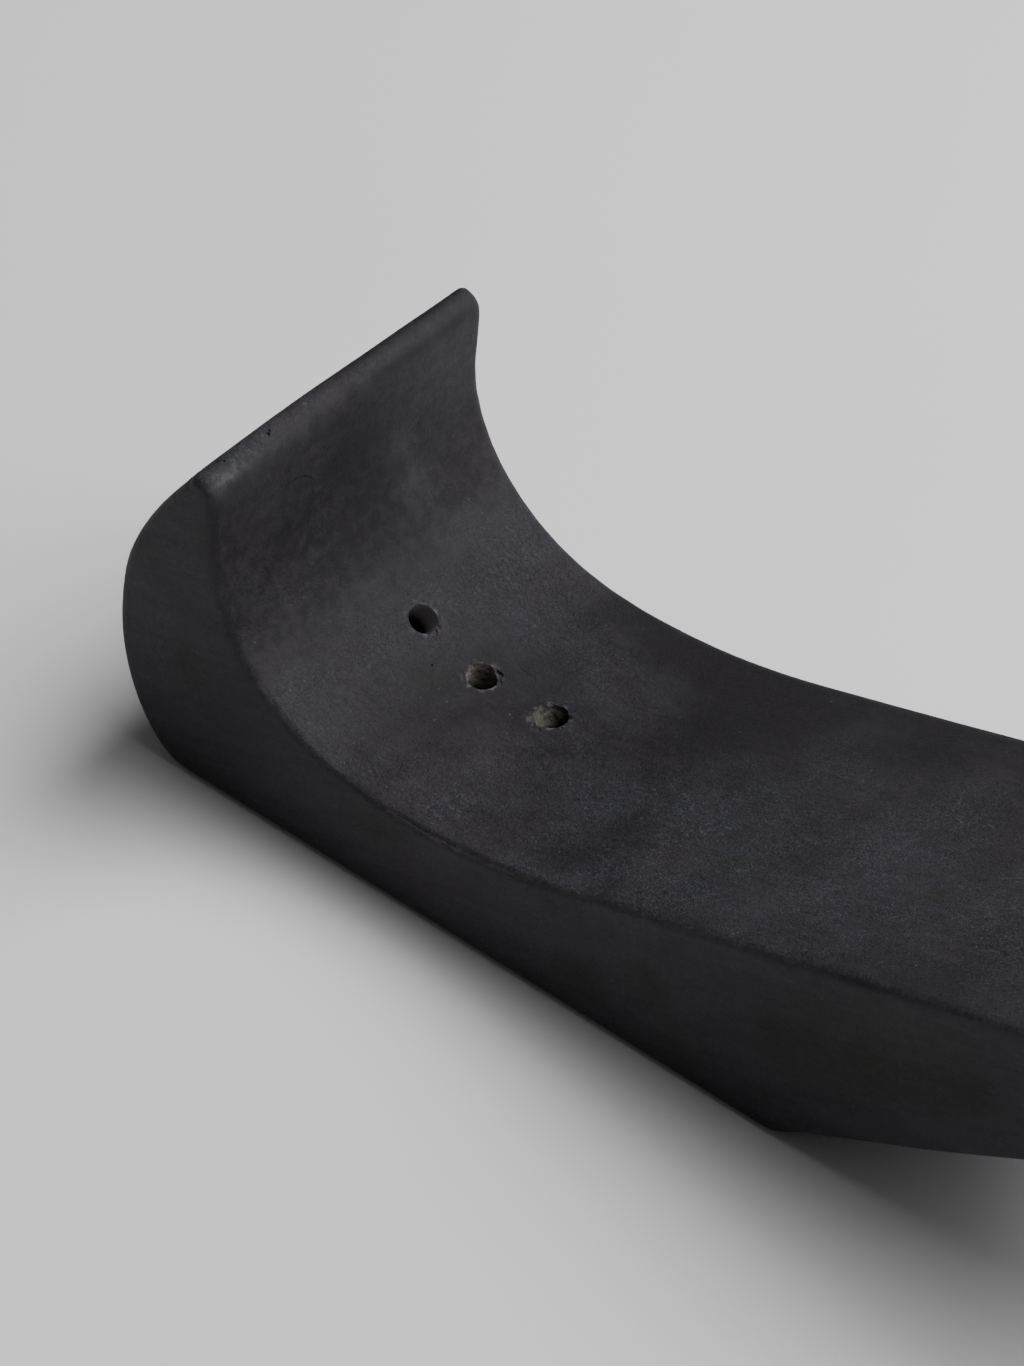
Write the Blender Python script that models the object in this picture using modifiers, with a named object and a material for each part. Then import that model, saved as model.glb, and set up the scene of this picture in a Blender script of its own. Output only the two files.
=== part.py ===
"""Ski-shaped incense burner: one thick ceramic body on four small base pads.

The body is a side outline, drawn in the XZ plane and extruded across Y. Its near end curls up into
a round lip, its middle is a hollow cradle with three stick holes, and its far end is a long wing
that rises clear of the table. Metres, +Z up. The origin is on the table, under the body's middle.
"""

import math

import bmesh
import bpy
from mathutils import Vector

MM = 0.001

# Driving dimensions
LENGTH = 205 * MM  # from the back of the curl to the end of the wing
WIDTH = 50 * MM
EDGE_RADIUS = 1.2 * MM

# Side outline, measured from the heel: X towards the wing, Z up from the flat base
FLAT_START = 1.2 * MM
FLAT_END = 100 * MM
BACK_BULGE = 9.2 * MM  # how far the back swells behind the heel
BACK_BULGE_HEIGHT = 19.5 * MM
LIP_INNER_X = 9.3 * MM
LIP_HEIGHT = 54.4 * MM
LIP_ROUND = 2.9 * MM  # from the crest of the lip to its inner face
LIP_BACK_SLOPE = math.radians(52)
CRADLE_WALL_HEIGHT = 42 * MM  # where the inner face stops standing upright
CRADLE_X = 37.5 * MM  # lowest point of the hollow
CRADLE_HEIGHT = 15.9 * MM
WING_START = (72.5 * MM, 22.4 * MM)  # where the top of the wing becomes straight
WING_SLOPE = math.radians(18)
KEEL_END = (106.4 * MM, 3.1 * MM)  # end of the soft corner after the flat base
KEEL_SLOPE = math.radians(27)
TIP_LENGTH = 4.5 * MM  # rounded end of the wing
TIP_THICKNESS = 5.2 * MM
TIP_UNDER_SLOPE = math.radians(35.5)

# Stick holes: place along the length, lean of the bore towards the wing, depth
HOLE_DIAMETER = 4.1 * MM
HOLE_OFFSET = 1.0 * MM  # hand-drilled, so the row misses the middle line by this much
HOLES = {
    "rear": (20.6 * MM, math.radians(34), 15 * MM),
    "middle": (30.8 * MM, math.radians(5), 12 * MM),
    "front": (42.2 * MM, math.radians(-26), 12 * MM),
}
HOLE_SIDES = 32
CUTTER_EXCESS = 12 * MM  # how far a hole's cutter stands out above the body

# Base pads
PAD_DIAMETER = 10 * MM
PAD_THICKNESS = 1.8 * MM
PAD_PROUD = 0.4 * MM
PAD_EDGE = 0.2 * MM
PAD_INSET = 11 * MM  # pad centre from the body's sides and from the ends of its flat base
PAD_SIDES = 40
PAD_CLEARANCE = 0.3 * MM

CURVE_STEPS = 10
EDGE_STEPS = 2
FLAT_ANGLE = math.radians(0.05)  # faces that turn less than this are joined

HEEL_X = BACK_BULGE - LENGTH / 2
QUARTER = 0.5523  # handle length of a quarter round, in radii


def along(slope, reach):
    """A step of this reach in the outline's plane, at this slope from +X."""
    return Vector((math.cos(slope) * reach, math.sin(slope) * reach))


def outline_knots():
    """The side outline as (point, slope, handle before, handle after), in order from the heel up."""
    up = math.radians(90)
    flat = math.radians(180)
    bulge = FLAT_START + BACK_BULGE
    crest = Vector((LIP_INNER_X - LIP_ROUND, LIP_HEIGHT))
    lip_back = crest - along(LIP_BACK_SLOPE, LIP_ROUND)
    wing_start = Vector(WING_START)
    keel_end = Vector(KEEL_END)
    tip_x = LENGTH - BACK_BULGE
    tip_top = wing_start + along(WING_SLOPE, (tip_x - TIP_LENGTH - wing_start.x) / math.cos(WING_SLOPE))
    tip_slope = (WING_SLOPE + TIP_UNDER_SLOPE) / 2
    tip_under = tip_top + along(tip_slope - up, TIP_THICKNESS)
    tip_nose = (tip_top + tip_under) / 2
    tip_nose += along(tip_slope, (tip_x - tip_nose.x) / math.cos(tip_slope))
    nose_reach = TIP_THICKNESS / 2 * QUARTER
    under_reach = (tip_under - keel_end).length / 3
    return [
        (Vector((FLAT_START, 0)), flat, 10 * MM, bulge * QUARTER),
        (Vector((-BACK_BULGE, BACK_BULGE_HEIGHT)), up, BACK_BULGE_HEIGHT * QUARTER, 12 * MM),
        (lip_back, LIP_BACK_SLOPE, 14 * MM, 1.0 * MM),
        (crest, 0, 0.9 * MM, LIP_ROUND * QUARTER),
        (Vector((LIP_INNER_X, LIP_HEIGHT - LIP_ROUND)), -up, LIP_ROUND * QUARTER, 3 * MM),
        (Vector((LIP_INNER_X, CRADLE_WALL_HEIGHT)), -up, 3 * MM, 15 * MM),
        (Vector((CRADLE_X, CRADLE_HEIGHT)), 0, 18 * MM, 14 * MM),
        (wing_start, WING_SLOPE, 12 * MM, 20 * MM),
        (tip_top, WING_SLOPE, 20 * MM, 2.0 * MM),
        (tip_nose, -up, nose_reach, nose_reach),
        (tip_under, TIP_UNDER_SLOPE + flat, 2.0 * MM, under_reach),
        (keel_end, KEEL_SLOPE + flat, under_reach, 2.5 * MM),
        (Vector((FLAT_END, 0)), flat, 2.5 * MM, 10 * MM),
    ]


def new_collection(name):
    collection = bpy.data.collections.new(name)
    bpy.context.scene.collection.children.link(collection)
    return collection


def move_to(obj, collection):
    for other in obj.users_collection:
        other.objects.unlink(obj)
    collection.objects.link(obj)


def material(name, color, roughness):
    made = bpy.data.materials.new(name)
    made.use_nodes = True
    shader = made.node_tree.nodes["Principled BSDF"]
    shader.inputs["Base Color"].default_value = (*color, 1)
    shader.inputs["Roughness"].default_value = roughness
    shader.inputs["Metallic"].default_value = 0
    return made


def outline_curve():
    """The body as a filled 2D curve, extruded across the width with its long edges rounded."""
    curve = bpy.data.curves.new("burner_outline", "CURVE")
    curve.dimensions = "2D"
    curve.fill_mode = "BOTH"
    curve.resolution_u = CURVE_STEPS
    curve.extrude = WIDTH / 2 - EDGE_RADIUS
    curve.bevel_depth = EDGE_RADIUS
    curve.bevel_resolution = EDGE_STEPS
    curve.offset = -EDGE_RADIUS
    knots = outline_knots()
    spline = curve.splines.new("BEZIER")
    spline.bezier_points.add(len(knots) - 1)
    spline.use_cyclic_u = True
    for bezier, (point, slope, before, after) in zip(spline.bezier_points, knots):
        bezier.handle_left_type = "FREE"
        bezier.handle_right_type = "FREE"
        bezier.co = (*point, 0)
        bezier.handle_left = (*(point - along(slope, before)), 0)
        bezier.handle_right = (*(point + along(slope, after)), 0)
    return bpy.data.objects.new("burner_outline", curve)


def make_body(collection):
    guide = outline_curve()
    collection.objects.link(guide)
    guide.location = (HEEL_X, 0, PAD_PROUD)
    guide.rotation_euler.x = math.radians(90)
    bpy.context.view_layer.update()
    graph = bpy.context.evaluated_depsgraph_get()
    mesh = bpy.data.meshes.new_from_object(guide.evaluated_get(graph))
    shape = bmesh.new()
    shape.from_mesh(mesh)
    bmesh.ops.remove_doubles(shape, verts=shape.verts, dist=0.001 * MM)
    bmesh.ops.dissolve_limit(shape, angle_limit=FLAT_ANGLE, verts=shape.verts, edges=shape.edges)
    bmesh.ops.recalc_face_normals(shape, faces=shape.faces)
    shape.to_mesh(mesh)
    shape.free()
    body = bpy.data.objects.new("burner_body", mesh)
    body.matrix_world = guide.matrix_world
    bpy.data.objects.remove(guide)
    collection.objects.link(body)
    return body


def cylinder(name, diameter, depth, location, lean, sides, collection):
    bpy.ops.mesh.primitive_cylinder_add(
        vertices=sides, radius=diameter / 2, depth=depth, location=location, rotation=(0, lean, 0)
    )
    made = bpy.context.object
    made.name = name
    move_to(made, collection)
    return made


def cut(body, cutter):
    cutter.hide_render = True
    cutter.display_type = "WIRE"
    boolean = body.modifiers.new(cutter.name, "BOOLEAN")
    boolean.operation = "DIFFERENCE"
    boolean.solver = "EXACT"
    boolean.object = cutter


def hollow_height(x):
    """Height of the top surface over the base, by halving the curve's parameter at this x."""
    knots = outline_knots()
    inner, cradle, wing = knots[5], knots[6], knots[7]
    start, end = (inner, cradle) if x < cradle[0].x else (cradle, wing)
    hull = (
        start[0],
        start[0] + along(start[1], start[3]),
        end[0] - along(end[1], end[2]),
        end[0],
    )
    low, high = 0.0, 1.0
    for _ in range(40):
        t = (low + high) / 2
        weights = ((1 - t) ** 3, 3 * (1 - t) ** 2 * t, 3 * (1 - t) * t**2, t**3)
        point = sum((corner * weight for corner, weight in zip(hull, weights)), Vector((0, 0)))
        low, high = (t, high) if point.x < x else (low, t)
    return point.y


def cut_stick_holes(body, cutters):
    for name, (x, lean, depth) in HOLES.items():
        mouth = Vector((HEEL_X + x, HOLE_OFFSET, PAD_PROUD + hollow_height(x)))
        outward = Vector((math.sin(lean), 0, math.cos(lean)))
        middle = mouth + outward * (CUTTER_EXCESS - depth) / 2
        cutter = cylinder(
            f"stick_hole_{name}", HOLE_DIAMETER, depth + CUTTER_EXCESS, middle, lean, HOLE_SIDES, cutters
        )
        cut(body, cutter)


def make_pads(body, finish, parts, cutters):
    pocket_depth = PAD_THICKNESS - PAD_PROUD + PAD_CLEARANCE
    ends = {"rear": HEEL_X + FLAT_START + PAD_INSET, "front": HEEL_X + FLAT_END - PAD_INSET}
    sides = {"left": WIDTH / 2 - PAD_INSET, "right": PAD_INSET - WIDTH / 2}
    for end, x in ends.items():
        for side, y in sides.items():
            place = f"{end}_{side}"
            centre = (x, y, PAD_THICKNESS / 2)
            pad = cylinder(f"base_pad_{place}", PAD_DIAMETER, PAD_THICKNESS, centre, 0, PAD_SIDES, parts)
            bevel = pad.modifiers.new("edge", "BEVEL")
            bevel.width = PAD_EDGE
            bevel.segments = 2
            pad.data.materials.append(finish)
            pad.data.shade_smooth()
            pad.data.set_sharp_from_angle(angle=math.radians(40))
            pocket = cylinder(
                f"pad_pocket_{place}",
                PAD_DIAMETER + 2 * PAD_CLEARANCE,
                pocket_depth * 2,
                (x, y, PAD_PROUD),
                0,
                PAD_SIDES,
                cutters,
            )
            cut(body, pocket)


def main():
    for obj in list(bpy.data.objects):
        bpy.data.objects.remove(obj)
    parts = new_collection("incense_burner")
    cutters = new_collection("cutters")
    cutters.hide_render = True
    body = make_body(parts)
    body.data.materials.append(material("black_ceramic", (0.022, 0.021, 0.024), 0.55))
    cut_stick_holes(body, cutters)
    make_pads(body, material("grey_silicone", (0.09, 0.09, 0.09), 0.7), parts, cutters)
    body.data.shade_smooth()
    body.data.set_sharp_from_angle(angle=math.radians(40))


main()
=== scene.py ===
"""Looks of the ski-shaped incense burner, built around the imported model.

The visible body is a fine mesh made from the CAD body's own side outline: pressed into the slight waves
of hand sanding, chipped, pitted, and bored with rough stick holes. Metres, +Z up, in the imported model's
frame.
"""

import math

import bmesh
import bpy
import numpy as np
from mathutils import Matrix, Vector, noise
from mathutils.bvhtree import BVHTree


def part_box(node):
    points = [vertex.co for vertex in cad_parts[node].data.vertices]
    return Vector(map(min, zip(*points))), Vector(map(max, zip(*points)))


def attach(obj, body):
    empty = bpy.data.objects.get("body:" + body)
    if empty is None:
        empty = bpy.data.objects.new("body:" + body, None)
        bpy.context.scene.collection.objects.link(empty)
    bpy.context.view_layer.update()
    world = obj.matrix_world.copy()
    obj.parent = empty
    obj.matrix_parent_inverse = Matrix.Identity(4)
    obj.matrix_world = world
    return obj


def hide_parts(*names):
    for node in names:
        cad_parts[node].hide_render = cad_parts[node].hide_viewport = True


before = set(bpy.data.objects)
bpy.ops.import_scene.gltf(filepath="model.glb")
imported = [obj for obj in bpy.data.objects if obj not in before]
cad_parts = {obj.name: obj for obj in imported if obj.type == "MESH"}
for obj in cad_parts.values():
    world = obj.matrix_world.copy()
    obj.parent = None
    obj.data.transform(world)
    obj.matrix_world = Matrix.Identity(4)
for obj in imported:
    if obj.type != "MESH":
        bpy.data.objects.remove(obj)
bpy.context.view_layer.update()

MM = 0.001

BODY_NODE = "burner_body"
CAD_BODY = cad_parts[BODY_NODE]
LOW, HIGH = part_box(BODY_NODE)
HALF_WIDTH = (HIGH.y - LOW.y) / 2
BACK_BULGE = 9.2 * MM  # how far the back swells behind the heel
HEEL = LOW.x + BACK_BULGE  # about where the flat base begins; places along the length start here
PADS = [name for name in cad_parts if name.startswith("base_pad")]
PAD_CLEARANCE = 0.3 * MM
PAD_POCKET_SIDES = 96

# Fineness of the body
OUTLINE_STEP = 0.8 * MM
OUTLINE_ROUNDS = 6
SAME_PLACE = 0.01 * MM
EDGE_ROUND = 1.0 * MM
EDGE_ROUND_STEPS = 5
VOXEL = 0.45 * MM
RELAX_ROUNDS = 4
SHARP_ANGLE = math.radians(42)

# Waves of hand sanding: size, seed, stretch along each axis, height in millimetres
WAVES = (
    (34 * MM, 1, (1.6, 1, 1), 0.12),
    (12 * MM, 2, (1.5, 1, 1), 0.06),
    (4.5 * MM, 3, (1.5, 1, 1), 0.020),
    (1.7 * MM, 4, (1, 1, 1), 0.007),
)

# Wear of the long edges, in millimetres: everywhere, where it wavers, and on the near edge's filed facet
EDGE_WEAR = 0.05
EDGE_WAVER = 0.10
EDGE_FACET = 0.30
FACET_START = (34 * MM, 42 * MM)
FACET_END = (58 * MM, 66 * MM)

# The hand-cut lip: how far its far end drops, leans in and flares out, and how far its back swells
LIP_DROP = 0.40 * MM
LIP_LEAN = 1.0 * MM
LIP_FLARE = 0.4 * MM
BACK_SWELL = 0.30 * MM

# Stick holes, in millimetres and degrees: place from the heel, place across, lean towards the wing, depth,
# radius, flare of the mouth, roughness of the wall, depth of the painted shade down the hole
BORES = {
    "rear": (20.6, 1.0, 34, 15, 2.05, 0.04, 0.05, 5.4),
    "middle": (30.9, 0.8, 5, 12, 1.85, 0.34, 0.16, 5.6),
    "front": (42.3, 1.4, -26, 12, 1.95, 0.34, 0.26, 2.6),
}
BORE_SIDES = 96
BORE_STEP = 0.16 * MM  # from ring to ring of a hole's wall
BORE_ABOVE = 3 * MM  # how far a hole's cutter stands out of its mouth
FLARE_DEPTH = 0.9 * MM
CONE_DEPTH = 0.6  # of the drilled cone at a hole's end, in radii
RIM_WIDTH = 0.55  # of the crumbled ring around a mouth, in millimetres
PAST_REAR = HEEL + 25 * MM  # between the rear and the middle hole
PAST_MIDDLE = HEEL + 36 * MM  # between the middle and the front hole

# Chips and pits, in millimetres: place from the heel, across, half width, depth; stretch along the length
CHIPS = (
    (31.7, 1.7, 1.55, 0.62, 1.0),
    (29.3, 0.1, 0.50, 0.18, 1.2),
    (22.5, 0.9, 0.60, 0.35, 1.0),
    (22.4, 1.9, 0.40, 0.25, 1.0),
    (19.4, 2.6, 0.45, 0.15, 1.3),
    (40.5, -0.2, 0.80, 0.35, 1.2),
    (40.9, 2.9, 0.60, 0.28, 1.1),
    (44.0, 2.6, 0.50, 0.25, 1.0),
    (42.6, -1.5, 0.24, 0.20, 1.0),
    (44.7, 0.6, 0.20, 0.18, 1.0),
    (41.4, -1.2, 0.26, 0.15, 1.4),
    (7.6, -12.6, 0.30, 0.34, 1.1),
    (7.3, -12.1, 0.22, 0.28, 1.2),
    (7.0, -20.1, 0.20, 0.26, 1.0),
    (25.5, -2.9, 0.19, 0.34, 1.0),
)

# Soft presses of a finger or a file, in millimetres: place from the heel, across, height over the base,
# radius, depth
DENTS = (
    (105.2, -25.0, 32.8, 1.4, 0.16),
    (97.0, -25.0, 30.6, 1.2, 0.16),
    (119.0, -25.0, 37.2, 2.4, 0.20),
    (71.0, -25.0, 21.8, 2.0, 0.18),
    (30.0, -25.0, 16.6, 2.2, 0.25),
    (22.0, -25.0, 19.8, 1.6, 0.20),
    (11.0, -25.0, 31.0, 2.0, 0.25),
    (146.0, 25.0, 46.0, 2.2, 0.20),
    (156.0, -25.0, 49.2, 2.0, 0.25),
)

# Broad tones of the stain and the wax, with painted light and shade among them: place from the heel,
# across, height and radius, in millimetres, and strength
TONE_AND_LIGHT_SPOTS = (
    (9.5, 0.0, 42.0, 8.0, -0.60),
    (10.8, 2.0, 33.0, 5.5, -0.65),
    (10.0, -12.0, 38.0, 6.0, -0.35),
    (9.3, -6.0, 45.0, 3.5, 0.30),
    (10.8, 10.2, 32.6, 3.0, 1.15),
    (9.6, 9.6, 38.6, 2.8, 1.00),
    (9.5, 15.5, 38.5, 3.2, -0.45),
    (12.5, -15.0, 30.0, 4.0, 0.45),
    (9.3, 23.0, 35.0, 4.0, -0.55),
    # painted shade: these three darken the lip's top towards its far end
    (8.0, 0.0, 54.0, 6.0, -0.30),
    (8.0, 11.0, 54.0, 7.0, -0.50),
    (8.0, 21.0, 54.0, 6.0, -0.50),
    (15.0, -16.0, 25.0, 8.0, -0.35),
    (18.0, -22.0, 23.0, 4.0, 0.45),
    (14.5, 6.0, 27.0, 7.0, -0.45),
    (24.0, 17.0, 19.0, 7.0, 0.10),
    # painted shade: the dark spots low in the hollow, 16 to 20 millimetres up, darken it
    (28.0, -10.0, 17.0, 9.0, -0.65),
    (36.0, -20.0, 16.0, 5.0, 0.40),
    (36.0, 2.0, 16.0, 10.0, -0.55),
    (22.0, 2.0, 20.0, 8.0, -0.50),
    (58.0, 2.0, 18.0, 7.0, -0.30),
    (62.0, 18.0, 19.5, 10.0, -1.0),
    (24.0, -15.0, 18.0, 8.0, -0.30),
    (92.0, -16.0, 29.0, 12.0, 0.35),
    (70.0, 12.0, 22.0, 8.0, -0.35),
    (90.0, 14.0, 28.0, 9.0, -0.40),
    (76.0, -12.0, 24.0, 10.0, 0.35),
    (104.0, -10.0, 33.0, 12.0, 0.30),
    (-3.0, -25.0, 37.0, 5.0, -0.55),
    (-4.5, -25.0, 27.0, 5.0, 0.60),
    (3.0, -25.0, 30.0, 4.5, -0.40),
    (1.0, -25.0, 15.0, 5.0, 0.30),
    (20.0, -25.0, 9.0, 6.0, 0.35),
    # painted light: these two lighten the near side low down, where light from the floor falls
    (46.0, -25.0, 6.0, 15.0, 0.80),
    (74.0, -25.0, 4.0, 13.0, 0.75),
    (108.0, -25.0, 24.0, 12.0, -0.55),
    (128.0, -25.0, 31.0, 14.0, -0.70),
    (-3.0, 25.0, 30.0, 7.0, 0.40),
    (6.0, 25.0, 14.0, 7.0, -0.40),
    (26.0, 25.0, 8.0, 9.0, 0.45),
    (55.0, 25.0, 10.0, 11.0, -0.45),
    (84.0, 25.0, 14.0, 9.0, 0.45),
    (113.0, 25.0, 26.0, 11.0, -0.40),
    (148.0, 25.0, 41.0, 9.0, 0.40),
    (-8.0, -8.0, 28.0, 9.0, 0.35),
    (-6.0, 12.0, 38.0, 8.0, -0.45),
)

# The lip's near corner, rubbed pale: spots in the same form
WORN_CORNER = (
    (8.5, -22.5, 53.6, 0.9, 0.60),
    (8.8, -20.9, 53.3, 0.8, 0.50),
    (8.4, -19.4, 53.8, 0.8, 0.42),
    (8.8, -17.8, 53.4, 0.6, 0.30),
    (8.2, -16.2, 53.9, 0.6, 0.20),
)

# Olive grey smudges of old wax and ash: spots in the same form
SMUDGES = (
    (77.6, 2.8, 24.0, 1.9, 1.3),
    (84.0, -11.0, 26.0, 1.8, 1.2),
    (113.2, -7.3, 36.0, 1.8, 0.9),
    (130.7, -19.4, 41.3, 2.0, 0.8),
    (103.0, -25.0, 18.0, 4.5, 0.8),
    (110.0, -25.0, 20.5, 4.0, 0.6),
    (117.0, -25.0, 23.0, 4.5, 0.7),
    (125.0, -25.0, 26.0, 4.0, 0.5),
    (133.0, -25.0, 29.5, 3.5, 0.8),
    (70.4, -25.0, 7.0, 4.0, 0.6),
    (81.0, -25.0, 13.5, 3.0, 0.6),
    (27.0, -4.5, 17.5, 2.6, 0.6),
    (29.5, 4.6, 16.6, 2.6, 0.5),
    (34.5, 8.0, 16.0, 3.2, 0.4),
    (3.0, -25.0, 20.0, 3.0, 0.5),
    (36.0, -25.0, 11.0, 3.5, 0.4),
    (40.0, 25.0, 10.0, 4.0, 0.6),
    (97.0, 25.0, 18.0, 5.0, 0.7),
    (104.0, 25.0, 21.0, 3.5, 0.6),
    (-4.0, 25.0, 20.0, 3.5, 0.5),
    (-8.5, 6.0, 26.0, 4.5, 0.6),
    (-5.0, -14.0, 40.0, 3.5, 0.5),
    (150.0, 8.0, 47.0, 3.0, 0.6),
    (166.0, -10.0, 52.0, 3.5, 0.5),
)

# Hairline scratches, as arcs: the arc's centre (place from the heel, across, height) and radius, the middle
# of its drawn part, half the length of that part, all in millimetres, and strength
SCRATCHES = (
    (9.3, -10.5, 41.0, 4.6, (9.3, -8.6, 45.2), 3.6, 1.0),
    (9.3, -9.0, 40.0, 7.4, (9.3, -3.5, 45.0), 3.0, 0.45),
    (60.0, 17.0, 16.0, 24.6, (35.4, 17.8, 16.0), 1.6, 0.8),
    (34.0, -10.0, 16.0, 15.5, (34.8, 5.5, 16.0), 1.7, 0.8),
    (70.0, 40.0, 30.0, 46.0, (46.0, 3.0, 17.0), 2.4, 0.5),
    (60.0, -50.0, 20.0, 42.0, (66.0, -9.0, 20.6), 2.6, 0.4),
    (100.0, 30.0, 30.0, 36.0, (88.0, -3.5, 27.4), 3.0, 0.4),
)

SCRATCH_CORE = 0.08 * MM
SCRATCH_EDGE = 0.20 * MM
SCRATCH_FADE = 0.7  # the share of its half length after which a scratch fades

# How pale the marks make the edges, and how dark the far side of the hollow and the wing is
BAND_WEAR = 0.06
RUBBED_EDGE = 0.24
FAR_SHADE = 0.75

WING_SLOPE = math.radians(18)  # the grain runs along the wing

# Colours of the black ceramic's skin, and of the painted sheen, glints and shade on it
STAIN = (0.0152, 0.0131, 0.0160)
WARM_GREY = (0.0392, 0.0332, 0.0378)
COOL_GREY = (0.0350, 0.0340, 0.0430)
# painted shade: a darker colour for the side faces
SIDE_SHADE = (0.0300, 0.0245, 0.0280)
OLIVE = (0.0205, 0.0230, 0.0180)
# painted highlight: the crinkle's sheen
PAINTED_SHEEN = (0.085, 0.095, 0.125)
SCRATCHED = (0.010, 0.009, 0.011)
# painted highlight: small glints
PAINTED_GLINT = (0.16, 0.18, 0.22)
RUBBED = (0.120, 0.118, 0.122)
CRUMB = (0.150, 0.155, 0.170)

# Colours of the raw ceramic in the stick holes and the chips, and of the painted light and shade in the
# holes
RAW_DARK = (0.100, 0.084, 0.078)
RAW_PALE = (0.165, 0.150, 0.152)
# painted light: the rear hole's wall, painted pale as if lit
PAINTED_LIT_WALL = (0.270, 0.250, 0.262)
POWDER_DARK = (0.040, 0.036, 0.031)
POWDER_PALE = (0.085, 0.080, 0.073)
BROWNED = (0.040, 0.030, 0.023)
# painted shade: deep down in the holes
DEPTH_SHADE = (0.007, 0.006, 0.005)
CHIP_DARK = (0.020, 0.017, 0.019)
CHIP_PALE = (0.046, 0.041, 0.044)
CHIP_GRAIN = (0.085, 0.083, 0.085)

# Colours of the pads
SILICONE_DARK = (0.070, 0.070, 0.072)
SILICONE_PALE = (0.110, 0.108, 0.106)
DUST = (0.26, 0.25, 0.23)

CAMERA_AIM = Vector((-0.0565, 0, 0.0200))
CAMERA_AZIMUTH = math.radians(42.57)
CAMERA_ELEVATION = math.radians(43.49)
CAMERA_ROLL = math.radians(-1.49)
CAMERA_DISTANCE = 1.0305
CAMERA_LENS = 211.5
CAMERA_SENSOR = 36

FLOOR_COLOR = (0.88, 0.88, 0.89)
FLOOR_SIZE = 3.0

# Lights: azimuth and elevation of the place they shine from, in degrees, its distance, size, power
LIGHTS = {
    "canopy": (138, 56, 0.95, 0.9, 13),
    "key": (165, 60, 1.1, 0.5, 3),
    "low": (128, 38, 0.9, 0.35, 0.6),
}
AMBIENT = 0.072


# ---------------------------------------------------------------- small helpers


def fade(value, start, end):
    """0 at start, 1 at end, smooth between."""
    t = np.clip((value - start) / (end - start), 0, 1)
    return t * t * (3 - 2 * t)


def evaluated_mesh(obj):
    graph = bpy.context.evaluated_depsgraph_get()
    return bpy.data.meshes.new_from_object(obj.evaluated_get(graph))


def in_scene(name, data):
    made = bpy.data.objects.new(name, data)
    bpy.context.scene.collection.objects.link(made)
    return made


def surface_tree(obj):
    return BVHTree.FromObject(obj, bpy.context.evaluated_depsgraph_get())


def from_heel(x, y, z):
    """The frame's place, in metres, for millimetres from the heel, the middle line and the flat base."""
    return Vector((HEEL + x * MM, y * MM, LOW.z + z * MM))


# ---------------------------------------------------------------- outline


def side_outline():
    """The CAD body's side outline as a closed ring of (x, z), in order."""
    mesh = CAD_BODY.data
    places = [tuple(round(c, 6) for c in vertex.co) for vertex in mesh.vertices]
    near_end = [p for p in places if abs(p[0] - LOW.x) < SAME_PLACE]
    ring_y = max(p[1] for p in near_end)
    linked = {}
    for edge in mesh.edges:
        a, b = (places[i] for i in edge.vertices)
        if a != b and abs(a[1] - ring_y) < SAME_PLACE and abs(b[1] - ring_y) < SAME_PLACE:
            linked.setdefault(a, set()).add(b)
            linked.setdefault(b, set()).add(a)
    start = min(linked)
    ring = [start]
    previous, here = None, start
    while True:
        onward = [p for p in linked[here] if p != previous]
        previous, here = here, onward[0]
        if here == start:
            break
        ring.append(here)
    return np.array([(p[0], p[2]) for p in ring])


def subdivided(ring, step):
    """The ring with its straight runs cut into pieces no longer than a step."""
    points = []
    for a, b in zip(ring, np.roll(ring, -1, axis=0)):
        count = max(1, math.ceil(np.linalg.norm(b - a) / step))
        points += [a + (b - a) * k / count for k in range(count)]
    return np.array(points)


def smoothed_ring(ring, rounds):
    """The ring with its facets rounded off. A push back after each smoothing keeps it from shrinking."""
    for _ in range(rounds):
        for amount in (0.5, -0.52):
            middle = (np.roll(ring, 1, axis=0) + np.roll(ring, -1, axis=0)) / 2
            ring = ring + (middle - ring) * amount
    return ring


def solid_from_outline(ring):
    """A closed solid: the outline filled, extruded across the CAD body's width, its long edges rounded."""
    curve = bpy.data.curves.new("outline", "CURVE")
    curve.dimensions = "2D"
    curve.fill_mode = "BOTH"
    curve.extrude = HALF_WIDTH - EDGE_ROUND
    curve.bevel_depth = EDGE_ROUND
    curve.bevel_resolution = EDGE_ROUND_STEPS
    curve.offset = -EDGE_ROUND
    spline = curve.splines.new("POLY")
    spline.points.add(len(ring) - 1)
    spline.use_cyclic_u = True
    for point, (x, z) in zip(spline.points, ring):
        point.co = (x, z, 0, 1)
    guide = in_scene("outline", curve)
    guide.rotation_euler.x = math.radians(90)
    bpy.context.view_layer.update()
    mesh = evaluated_mesh(guide)
    mesh.transform(guide.matrix_world)
    bpy.data.objects.remove(guide)
    shape = bmesh.new()
    shape.from_mesh(mesh)
    bmesh.ops.remove_doubles(shape, verts=shape.verts, dist=0.001 * MM)
    bmesh.ops.recalc_face_normals(shape, faces=shape.faces)
    shape.to_mesh(mesh)
    shape.free()
    return mesh


# ---------------------------------------------------------------- mesh points


def remeshed(mesh, voxel):
    rough = in_scene("rough", mesh)
    remesh = rough.modifiers.new("remesh", "REMESH")
    remesh.mode = "VOXEL"
    remesh.voxel_size = voxel
    made = evaluated_mesh(rough)
    bpy.data.objects.remove(rough)
    return made


def read_points(mesh):
    points = np.empty(len(mesh.vertices) * 3)
    mesh.vertices.foreach_get("co", points)
    return points.reshape(-1, 3)


def write_points(mesh, points):
    mesh.vertices.foreach_set("co", points.astype(np.float32).ravel())
    mesh.update()


def normals_of(mesh):
    normals = np.empty(len(mesh.vertices) * 3)
    mesh.vertices.foreach_get("normal", normals)
    return normals.reshape(-1, 3)


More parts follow.
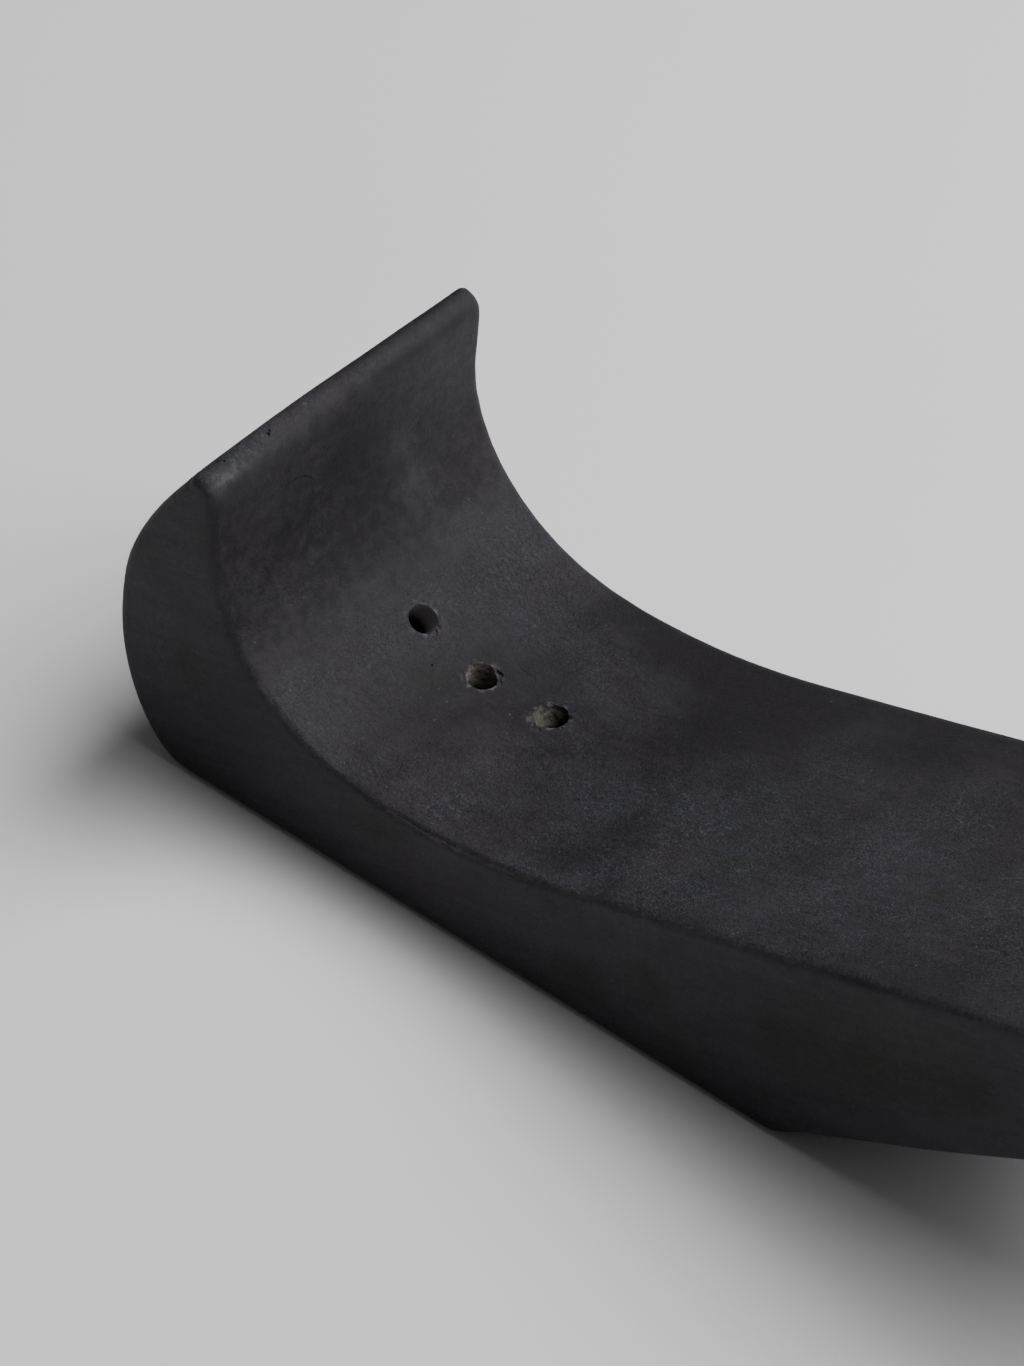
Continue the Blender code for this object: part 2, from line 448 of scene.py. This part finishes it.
def relaxed(mesh, rounds):
    """Smooths the mesh without shrinking it."""
    edges = np.empty(len(mesh.edges) * 2, np.int64)
    mesh.edges.foreach_get("vertices", edges)
    edges = edges.reshape(-1, 2)
    points = read_points(mesh)
    ends = np.concatenate([edges[:, 0], edges[:, 1]])
    others = np.concatenate([edges[:, 1], edges[:, 0]])
    size = len(points)
    count = np.bincount(ends, minlength=size)[:, None]
    for _ in range(rounds):
        for amount in (0.5, -0.515):
            sums = [np.bincount(ends, weights=points[others, axis], minlength=size) for axis in range(3)]
            points = points + (np.stack(sums, axis=1) / count - points) * amount
    write_points(mesh, points)


def noise_at(points, size, seed, stretch=(1, 1, 1)):
    """Smooth noise, about -1 to 1, with features of this size."""
    offset = Vector((seed * 17.3, seed * 5.9, seed * 11.1))
    scaled = points / (np.array(stretch) * size)
    return np.array([noise.noise(Vector(p) + offset) for p in scaled.tolist()])


# ---------------------------------------------------------------- hand finish


def shaped_lip(points):
    """The hand-cut lip: its far end lies lower and further in than its near end, and its back swells."""
    height = points[:, 2] - LOW.z
    across = (points[:, 1] + HALF_WIDTH) / (2 * HALF_WIDTH)
    top = fade(height, 38 * MM, 54 * MM)
    at_back = points[:, 0] < HEEL + 14 * MM
    points[:, 2] -= at_back * top * across * LIP_DROP
    points[:, 0] += at_back * top * fade(across, 0.3, 1) * LIP_LEAN
    points[:, 1] += at_back * top * fade(across, 0.9, 1) * LIP_FLARE
    behind = (points[:, 0] < HEEL + 5 * MM) * fade(height, 24 * MM, 36 * MM)
    points[:, 0] -= behind * BACK_SWELL


def edge_share(normals):
    """1 on the middle of a long rounded edge, 0 on the flat faces beside it."""
    across = normals[:, 1] ** 2
    return 4 * across * (1 - across)


def sanded(mesh):
    """Presses the machine-straight faces into the waves, soft facets and dents that handwork leaves."""
    points = read_points(mesh)
    normals = normals_of(mesh)
    lifted = fade(points[:, 2], LOW.z + 0.8 * MM, LOW.z + 5 * MM)
    push = sum(noise_at(points, size, seed, stretch) * height for size, seed, stretch, height in WAVES)
    along = points[:, 0] - HEEL
    facet = fade(along, *FACET_START) * (1 - fade(along, *FACET_END)) * (points[:, 1] < 0)
    waver = noise_at(points, 9 * MM, 5, (1.4, 3, 3))
    push -= edge_share(normals) * (EDGE_WEAR + EDGE_WAVER * np.maximum(waver, 0) + EDGE_FACET * facet)
    for x, y, z, radius, depth in DENTS:
        away = np.linalg.norm(points - np.array(from_heel(x, y, z)), axis=1) / (radius * MM)
        push -= depth * np.exp(-away * away)
    points += normals * (push * lifted * MM)[:, None]
    shaped_lip(points)
    write_points(mesh, points)


# ---------------------------------------------------------------- holes, chips and pockets


def bore_axis(lean):
    """(outward, sideways) unit vectors of a bore that leans this much towards the wing."""
    turned = math.radians(lean)
    outward = Vector((math.sin(turned), 0, math.cos(turned)))
    return outward, Vector((outward.z, 0, -outward.x))


def bore_cutter(mouth, lean, depth, radius, flare, rough, seed):
    """A closed cutter for a stick hole, with a flared mouth, a rough wall and a drilled cone at its end."""
    outward, side = bore_axis(lean)
    across = Vector((0, 1, 0))
    shape = bmesh.new()
    rings = []
    for k in range(int((depth + BORE_ABOVE) / BORE_STEP) + 1):
        down = k * BORE_STEP - BORE_ABOVE
        wide = flare * math.exp(-max(down, 0) / FLARE_DEPTH)
        ring = []
        for j in range(BORE_SIDES):
            angle = 2 * math.pi * j / BORE_SIDES
            spoke = side * math.cos(angle) + across * math.sin(angle)
            place = mouth - outward * down + spoke * radius
            grit = noise.noise(place / (1.1 * MM) + Vector((seed, 0, 0))) * 0.65
            grit += noise.noise(place / (0.4 * MM) + Vector((0, seed, 0))) * 0.35
            ring.append(shape.verts.new(mouth - outward * down + spoke * (radius + wide + rough * grit)))
        rings.append(ring)
    top = shape.verts.new(mouth + outward * BORE_ABOVE)
    tip = shape.verts.new(mouth - outward * (depth + radius * CONE_DEPTH))
    for upper, lower in zip(rings, rings[1:]):
        for j in range(BORE_SIDES):
            shape.faces.new((upper[j], upper[j - 1], lower[j - 1], lower[j]))
    for j in range(BORE_SIDES):
        shape.faces.new((top, rings[0][j - 1], rings[0][j]))
        shape.faces.new((tip, rings[-1][j], rings[-1][j - 1]))
    bmesh.ops.recalc_face_normals(shape, faces=shape.faces)
    return shape


def chip_cutter(place, normal, half_width, depth, stretch, seed):
    """A closed, lumpy cutter for a chip or a pit."""
    shape = bmesh.new()
    bmesh.ops.create_icosphere(shape, subdivisions=3, radius=1)
    turn = normal.to_track_quat("Z", "Y")
    for vertex in shape.verts:
        lump = 1 + 0.30 * noise.noise(vertex.co * 1.7 + Vector((seed, 0, 0)))
        lump += 0.14 * noise.noise(vertex.co * 5 + Vector((0, seed, 0)))
        local = vertex.co * lump
        local = Vector((local.x * half_width * stretch, local.y * half_width, local.z * depth))
        vertex.co = place + turn @ local
    return shape


def joined(name, shapes, material):
    """One object made of all these shapes."""
    whole = bmesh.new()
    for shape in shapes:
        piece = bpy.data.meshes.new("piece")
        shape.to_mesh(piece)
        shape.free()
        whole.from_mesh(piece)
        bpy.data.meshes.remove(piece)
    mesh = bpy.data.meshes.new(name)
    whole.to_mesh(mesh)
    whole.free()
    mesh.materials.append(material)
    return in_scene(name, mesh)


def cut(body, cutter):
    """Cuts the cutter out of the body. The cut faces keep the cutter's material."""
    boolean = body.modifiers.new("cut", "BOOLEAN")
    boolean.operation = "DIFFERENCE"
    boolean.solver = "MANIFOLD"
    boolean.material_mode = "TRANSFER"
    boolean.object = cutter
    bpy.context.view_layer.update()
    mesh = evaluated_mesh(body)
    body.modifiers.clear()
    body.data = mesh
    bpy.data.objects.remove(cutter)


def top_surface(tree, x, y):
    """The point of the body's top, and its normal, at this place in millimetres from the heel."""
    found = tree.ray_cast(from_heel(x, y, 100), Vector((0, 0, -1)))
    return found[0], found[1]


def bore_cutters(tree):
    shapes = []
    for index, (x, y, lean, depth, radius, flare, rough, _) in enumerate(BORES.values()):
        mouth, _ = top_surface(tree, x, y)
        sizes = [size * MM for size in (depth, radius, flare, rough)]
        shapes.append(bore_cutter(mouth, lean, *sizes, 3.7 * index + 1))
    return shapes


def chip_cutters(tree):
    shapes = []
    for index, (x, y, half_width, depth, stretch) in enumerate(CHIPS):
        place, normal = top_surface(tree, x, y)
        shapes.append(chip_cutter(place, normal, half_width * MM, depth * MM, stretch, 2.3 * index + 1))
    return shapes


def pocket_cutters():
    """Cutters for the shallow pockets that hold the base pads."""
    shapes = []
    for name in PADS:
        low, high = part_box(name)
        radius = (high.x - low.x) / 2 + PAD_CLEARANCE
        shape = bmesh.new()
        bmesh.ops.create_cone(
            shape,
            cap_ends=True,
            segments=PAD_POCKET_SIDES,
            radius1=radius,
            radius2=radius,
            depth=2 * (high.z + PAD_CLEARANCE),
            matrix=Matrix.Translation(((low.x + high.x) / 2, (low.y + high.y) / 2, 0)),
        )
        shapes.append(shape)
    return shapes


# ---------------------------------------------------------------- marks that the materials read


def spots(points, places):
    """Soft round spots of these strengths, summed."""
    total = np.zeros(len(points))
    for x, y, z, radius, strength in places:
        away = np.linalg.norm(points - np.array(from_heel(x, y, z)), axis=1) / (radius * MM)
        total += strength * np.exp(-away * away)
    return total


def around_bores(points, mouths):
    """For each point, from 0 to 1: how far down it lies towards a bore's full painted shade, and how near
    to its rim.
    """
    down = np.zeros(len(points))
    rim = np.zeros(len(points))
    for mouth, (_, _, lean, _, radius, flare, rough, shade_depth) in zip(mouths, BORES.values()):
        outward, _ = bore_axis(lean)
        offset = points - np.array(mouth)
        along = offset @ np.array(outward)
        away = np.linalg.norm(offset - along[:, None] * np.array(outward), axis=1) / MM
        inside = away < radius + flare + rough + 0.3
        down = np.maximum(down, inside * np.clip(-along / (shade_depth * MM), 0, 1))
        near = np.exp(-(((away - radius - flare) / RIM_WIDTH) ** 2)) * (np.abs(along) < 2.5 * MM)
        rim = np.maximum(rim, near)
    return down, rim


def marked(mesh, mouths):
    """Stores wear, tone, smudge, top, side, down and rim on the mesh's points; tone and down hold painted
    light and shade.
    """
    points = read_points(mesh)
    normals = normals_of(mesh)
    height = points[:, 2] - LOW.z
    along = points[:, 0] - HEEL
    at_lip = along < 12 * MM
    band = fade(height, 49.5 * MM, 53 * MM) * fade(normals[:, 0] + normals[:, 2], 0.2, 0.9) * at_lip
    band *= 0.65 + 0.5 * noise_at(points, 5 * MM, 11, (1, 2.2, 1))
    bright = spots(points, WORN_CORNER)
    edge = edge_share(normals) * fade(normals[:, 2], -0.1, 0.3)
    edge *= np.clip(0.60 + 0.8 * noise_at(points, 6 * MM, 12), 0, 1)
    far_side = fade(points[:, 1], 12 * MM, 24 * MM) * fade(along, 18 * MM, 40 * MM)
    down, rim = around_bores(points, mouths)
    marks = {
        "wear": np.clip(BAND_WEAR * band + bright + RUBBED_EDGE * edge, 0, 1),
        # painted light and shade: some tone spots paint it, and the darker far side is painted shade
        "tone_and_light": spots(points, TONE_AND_LIGHT_SPOTS) - FAR_SHADE * far_side,
        "smudge": np.clip(spots(points, SMUDGES), 0, 1),
        "top": fade(normals[:, 2], 0.45, 0.9),
        "side": fade(np.abs(normals[:, 1]), 0.6, 0.95),
        "down": down,
        "rim": rim,
    }
    for name, values in marks.items():
        mesh.attributes.new(name, "FLOAT", "POINT").data.foreach_set("value", values.astype(np.float32))


# ---------------------------------------------------------------- body


def make_body(skin, wall, chipped):
    """The body: the outline made solid and sanded, then cut by its stick holes, chips and pad pockets."""
    ring = smoothed_ring(subdivided(side_outline(), OUTLINE_STEP), OUTLINE_ROUNDS)
    mesh = remeshed(solid_from_outline(ring), VOXEL)
    relaxed(mesh, RELAX_ROUNDS)
    sanded(mesh)
    mesh.materials.append(skin)
    body = in_scene("burner_body_skin", mesh)
    tree = surface_tree(body)
    mouths = [top_surface(tree, x, y)[0] for x, y, *_ in BORES.values()]
    cut(body, joined("bores", bore_cutters(tree), wall))
    cut(body, joined("chips", chip_cutters(tree), chipped))
    cut(body, joined("pockets", pocket_cutters(), skin))
    marked(body.data, mouths)
    body.data.shade_smooth()
    body.data.set_sharp_from_angle(angle=SHARP_ANGLE)
    return body


# ---------------------------------------------------------------- materials


class Graph:
    """A material's nodes, with a short call for each kind that is used here."""

    def __init__(self, name):
        self.material = bpy.data.materials.new(name)
        self.material.use_nodes = True
        self.tree = self.material.node_tree
        self.shader = self.tree.nodes["Principled BSDF"]
        self.place = self.tree.nodes.new("ShaderNodeTexCoord").outputs["Object"]

    def put(self, socket, value):
        """Links a node's output, or sets a plain value."""
        if isinstance(value, bpy.types.NodeSocket):
            self.tree.links.new(value, socket)
        elif isinstance(value, tuple) and len(value) == 3 and socket.type == "RGBA":
            socket.default_value = (*value, 1)
        else:
            socket.default_value = value

    def coordinate(self, axis):
        """One of the object coordinates: X, Y or Z."""
        node = self.tree.nodes.new("ShaderNodeSeparateXYZ")
        self.put(node.inputs["Vector"], self.place)
        return node.outputs[axis]

    def mark(self, name):
        """One of the values stored on the mesh's points."""
        node = self.tree.nodes.new("ShaderNodeAttribute")
        node.attribute_name = name
        return node.outputs["Fac"]

    def stretched(self, scale, slope):
        """Object coordinates turned so that this slope runs along X, then scaled along each axis."""
        turn = self.tree.nodes.new("ShaderNodeVectorRotate")
        turn.rotation_type = "Y_AXIS"
        self.put(turn.inputs["Vector"], self.place)
        turn.inputs["Angle"].default_value = slope
        node = self.tree.nodes.new("ShaderNodeVectorMath")
        node.operation = "MULTIPLY"
        self.put(node.inputs[0], turn.outputs["Vector"])
        node.inputs[1].default_value = scale
        return node.outputs["Vector"]

    def noise(self, size, detail=2.0, rough=0.5, distort=0.0, place=None):
        node = self.tree.nodes.new("ShaderNodeTexNoise")
        self.put(node.inputs["Vector"], place or self.place)
        node.inputs["Scale"].default_value = 1 / size
        node.inputs["Detail"].default_value = detail
        node.inputs["Roughness"].default_value = rough
        node.inputs["Distortion"].default_value = distort
        return node.outputs["Fac"]

    def specks(self, size, radius):
        """1 in the middle of scattered round specks, 0 between them."""
        node = self.tree.nodes.new("ShaderNodeTexVoronoi")
        self.put(node.inputs["Vector"], self.place)
        node.inputs["Scale"].default_value = 1 / size
        return self.spread(node.outputs["Distance"], radius, 0)

    def spread(self, value, start, end, low=0.0, high=1.0):
        """The value's run from start to end, smoothly remapped to low and high."""
        node = self.tree.nodes.new("ShaderNodeMapRange")
        node.interpolation_type = "SMOOTHSTEP"
        self.put(node.inputs["Value"], value)
        for socket, number in zip(("From Min", "From Max", "To Min", "To Max"), (start, end, low, high)):
            node.inputs[socket].default_value = number
        return node.outputs["Result"]

    def calc(self, operation, a, b=0.0):
        node = self.tree.nodes.new("ShaderNodeMath")
        node.operation = operation
        self.put(node.inputs[0], a)
        self.put(node.inputs[1], b)
        return node.outputs["Value"]

    def total(self, *terms):
        result = terms[0]
        for term in terms[1:]:
            result = self.calc("ADD", result, term)
        return result

    def ridge(self, value, width):
        """1 along the thin lines where the noise crosses its middle, 0 away from them."""
        away = self.calc("ABSOLUTE", self.calc("SUBTRACT", value, 0.5))
        return self.spread(away, width, 0)

    def distance(self, place):
        """How far the surface lies from this place."""
        node = self.tree.nodes.new("ShaderNodeVectorMath")
        node.operation = "DISTANCE"
        self.put(node.inputs[0], self.place)
        node.inputs[1].default_value = place
        return node.outputs["Value"]

    def scratches(self):
        """The strength of the hairline scratches along them, 0 elsewhere."""
        result = 0.0
        for x, y, z, radius, middle, reach, strength in SCRATCHES:
            off = self.calc("SUBTRACT", self.distance(from_heel(x, y, z)), radius * MM)
            line = self.spread(self.calc("ABSOLUTE", off), SCRATCH_EDGE, SCRATCH_CORE)
            away = self.distance(from_heel(*middle))
            near = self.spread(away, reach * MM, reach * SCRATCH_FADE * MM, 0, strength)
            result = self.calc("MAXIMUM", self.calc("MULTIPLY", line, near), result)
        return result

    def mix(self, share, first, second):
        node = self.tree.nodes.new("ShaderNodeMix")
        node.data_type = "RGBA"
        self.put(node.inputs["Factor"], share)
        self.put(node.inputs["A"], first)
        self.put(node.inputs["B"], second)
        return node.outputs["Result"]

    def bump(self, height, distance, below=None):
        node = self.tree.nodes.new("ShaderNodeBump")
        node.inputs["Distance"].default_value = distance
        node.inputs["Strength"].default_value = 1
        self.put(node.inputs["Height"], height)
        if below is not None:
            self.put(node.inputs["Normal"], below)
        return node.outputs["Normal"]

    def finish(self, color, roughness, normal):
        self.put(self.shader.inputs["Base Color"], color)
        self.put(self.shader.inputs["Roughness"], roughness)
        self.put(self.shader.inputs["Normal"], normal)
        return self.material


def ceramic_material():
    """Unglazed black ceramic: stained, sanded and waxed, with worn edges, smudges and a fine crinkle, and
    painted sheen, glints, light and shade.
    """
    g = Graph("black_ceramic_burnished")
    top = g.mark("top")
    mottle = g.noise(24 * MM, 3, 0.55, 0.8)
    cloud = g.noise(7 * MM, 4, 0.6, 0.5)
    streak = g.noise(1.6 * MM, 3, 0.6, 0.3, g.stretched((0.14, 1, 1), WING_SLOPE))
    crinkle = g.noise(0.60 * MM, 3, 0.60, 1.0)
    fibres = g.ridge(g.noise(0.62 * MM, 2, 0.55, 1.4, g.stretched((0.62, 1, 1), WING_SLOPE)), 0.055)
    patches = g.spread(g.noise(11 * MM, 3, 0.6), 0.30, 0.62)
    calm = g.spread(g.mark("tone_and_light"), -0.7, 0.2, 0.35, 1.0)
    calm = g.calc("MULTIPLY", calm, g.spread(top, 0.3, 1, 0.3, 1.0))

    # painted light and shade come into this sum through the stored tone
    tone_and_light = g.total(
        g.calc("MULTIPLY", g.mark("tone_and_light"), 0.5),
        g.spread(mottle, 0.3, 0.7, 0.14, 0.50),
        g.spread(cloud, 0.3, 0.7, -0.06, 0.22),
        g.calc("MULTIPLY", g.spread(streak, 0.3, 0.7, -0.27, 0.27), g.spread(top, 0, 1, 1.0, 0.4)),
        g.calc("MULTIPLY", g.spread(crinkle, 0.3, 0.7, -0.34, 0.34), calm),
    )
    tint = g.spread(g.noise(15 * MM, 3, 0.6, 0.5), 0.35, 0.65)
    color = g.mix(tone_and_light, STAIN, g.mix(tint, WARM_GREY, COOL_GREY))
    # painted shade: the side faces are mixed, in clouds, towards a darker colour
    side_shade = g.calc("MULTIPLY", g.mark("side"), g.spread(cloud, 0.3, 0.7, 0.20, 0.55))
    color = g.mix(side_shade, color, SIDE_SHADE)
    smudged = g.calc("MULTIPLY", g.mark("smudge"), g.spread(cloud, 0.25, 0.6, 0.5, 1.0))
    color = g.mix(smudged, color, OLIVE)
    # painted highlight: pale blue flecks along the crinkle's ridges, strongest on the tops, stand in for
    # its sheen
    painted_sheen = g.calc("MULTIPLY", fibres, g.calc("MULTIPLY", patches, g.spread(top, 0, 1, 0.14, 0.55)))
    painted_sheen = g.calc("MULTIPLY", painted_sheen, g.spread(g.mark("tone_and_light"), -0.7, 0.2, 0.05, 1.0))
    color = g.mix(painted_sheen, color, PAINTED_SHEEN)
    color = g.mix(g.scratches(), color, SCRATCHED)
    # painted highlight: scattered pale specks stand in for glints
    bright = g.calc("MULTIPLY", g.specks(2.3 * MM, 0.10), g.spread(g.noise(5 * MM, 2), 0.5, 0.65, 0, 0.45))
    color = g.mix(bright, color, PAINTED_GLINT)
    worn = g.calc("MULTIPLY", g.mark("wear"), g.spread(g.noise(0.9 * MM, 4, 0.65), 0.36, 0.60, 0.15, 1.0))
    color = g.mix(worn, color, RUBBED)
    crumbs = g.calc("MULTIPLY", g.mark("rim"), g.spread(g.noise(0.9 * MM, 3, 0.6), 0.50, 0.66, 0.0, 0.5))
    color = g.mix(crumbs, color, CRUMB)

    roughness = g.total(
        g.spread(mottle, 0.3, 0.7, 0.54, 0.64),
        g.spread(cloud, 0.3, 0.7, -0.03, 0.05),
        g.spread(crinkle, 0.3, 0.7, -0.05, 0.07),
        g.calc("MULTIPLY", g.mark("smudge"), 0.16),
        g.calc("MULTIPLY", g.mark("wear"), 0.10),
        g.calc("MULTIPLY", crumbs, 0.25),
    )
    grain = g.calc("MULTIPLY", g.total(crinkle, g.calc("MULTIPLY", fibres, 0.25)), calm)
    surface = g.bump(grain, 0.18 * MM)
    surface = g.bump(streak, 0.03 * MM, surface)
    g.shader.inputs["Specular IOR Level"].default_value = 0.22
    return g.finish(color, roughness, surface)


def wall_material():
    """The raw wall of a stick hole: clean and painted pale, as if lit, in the rear one, powdery in the
    front one, with painted shade further down.
    """
    g = Graph("bored_ceramic_raw")
    grit = g.noise(0.55 * MM, 4, 0.65, 0.4)
    lumps = g.noise(1.5 * MM, 3, 0.6)
    past_rear = g.spread(g.coordinate("X"), PAST_REAR, PAST_REAR + 1 * MM)
    past_middle = g.spread(g.coordinate("X"), PAST_MIDDLE, PAST_MIDDLE + 1 * MM)
    color = g.mix(g.spread(lumps, 0.35, 0.65), RAW_DARK, RAW_PALE)
    powder = g.mix(g.spread(g.noise(0.5 * MM, 3, 0.6), 0.38, 0.62), POWDER_DARK, POWDER_PALE)
    color = g.mix(past_middle, color, powder)
    color = g.mix(g.spread(grit, 0.42, 0.6, 0.60, 0.0), color, BROWNED)
    # painted light: the rear hole's wall is painted pale, as if lit
    color = g.mix(past_rear, PAINTED_LIT_WALL, color)
    # painted shade: each hole darkens further down
    color = g.mix(g.spread(g.mark("down"), 0.45, 1.0), color, DEPTH_SHADE)
    roughness = g.total(g.spread(grit, 0.3, 0.7, 0.40, 0.60), g.spread(past_rear, 0, 1, 0.0, 0.35))
    return g.finish(color, roughness, g.bump(grit, 0.20 * MM))


def chipped_material():
    """Where the skin has broken away: darker, matt and grainy."""
    g = Graph("chipped_ceramic")
    grit = g.noise(0.4 * MM, 4, 0.65, 0.4)
    lumps = g.noise(1.1 * MM, 3, 0.6)
    color = g.mix(g.spread(lumps, 0.35, 0.65), CHIP_DARK, CHIP_PALE)
    color = g.mix(g.spread(grit, 0.60, 0.72, 0.0, 0.5), color, CHIP_GRAIN)
    return g.finish(color, g.spread(grit, 0.3, 0.7, 0.65, 0.85), g.bump(grit, 0.08 * MM))


def pad_material():
    """Grey moulded silicone with dust in its grain."""
    g = Graph("grey_silicone_moulded")
    dust = g.noise(1.2 * MM, 4, 0.65, 0.5)
    cloud = g.noise(4 * MM, 2, 0.5)
    grain = g.noise(0.25 * MM, 3, 0.6)
    color = g.mix(g.spread(cloud, 0.3, 0.7), SILICONE_DARK, SILICONE_PALE)
    color = g.mix(g.spread(dust, 0.56, 0.72, 0.0, 0.6), color, DUST)
    roughness = g.total(g.spread(cloud, 0.3, 0.7, 0.58, 0.72), g.spread(dust, 0.5, 0.7, 0.0, 0.2))
    return g.finish(color, roughness, g.bump(g.total(grain, dust), 0.04 * MM))


def floor_material():
    """Pale matt board with the faintest unevenness."""
    g = Graph("pale_board")
    cloud = g.noise(60 * MM, 2, 0.5)
    grain = g.noise(1.5 * MM, 3, 0.6)
    color = g.mix(g.spread(cloud, 0.3, 0.7), FLOOR_COLOR, tuple(c * 1.015 for c in FLOOR_COLOR))
    return g.finish(color, g.spread(grain, 0.3, 0.7, 0.55, 0.65), g.bump(grain, 0.01 * MM))


# ---------------------------------------------------------------- stage


def direction(azimuth, elevation):
    """Unit vector towards a viewer who looks along +Y at azimuth 0, from this elevation."""
    flat = math.cos(elevation)
    return Vector((math.sin(azimuth) * flat, -math.cos(azimuth) * flat, math.sin(elevation)))


def make_camera():
    data = bpy.data.cameras.new("camera")
    data.lens = CAMERA_LENS
    data.sensor_width = CAMERA_SENSOR
    camera = in_scene("camera", data)
    back = direction(CAMERA_AZIMUTH, CAMERA_ELEVATION)
    camera.location = CAMERA_AIM + back * CAMERA_DISTANCE
    level = (-back).to_track_quat("-Z", "Y").to_matrix()
    camera.rotation_euler = (level @ Matrix.Rotation(CAMERA_ROLL, 3, "Z")).to_euler()
    bpy.context.scene.camera = camera


def make_floor():
    shape = bmesh.new()
    bmesh.ops.create_grid(shape, x_segments=1, y_segments=1, size=FLOOR_SIZE)
    mesh = bpy.data.meshes.new("floor")
    shape.to_mesh(mesh)
    shape.free()
    mesh.materials.append(floor_material())
    in_scene("floor", mesh)


def make_lights():
    for name, (azimuth, elevation, distance, size, power) in LIGHTS.items():
        data = bpy.data.lights.new(name, "AREA")
        data.shape = "SQUARE"
        data.size = size
        data.energy = power
        light = in_scene(name, data)
        towards = direction(math.radians(azimuth), math.radians(elevation))
        light.location = towards * distance
        light.rotation_euler = (-towards).to_track_quat("-Z", "Y").to_euler()
    world = bpy.data.worlds.new("world")
    world.use_nodes = True
    world.node_tree.nodes["Background"].inputs["Strength"].default_value = AMBIENT
    world.node_tree.nodes["Background"].inputs["Color"].default_value = (1, 1, 1, 1)
    bpy.context.scene.world = world


def finish_pads():
    silicone = pad_material()
    for name in PADS:
        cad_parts[name].material_slots[0].material = silicone


make_camera()
make_lights()
make_floor()
finish_pads()
body = make_body(ceramic_material(), wall_material(), chipped_material())
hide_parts(BODY_NODE)
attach(body, "root")
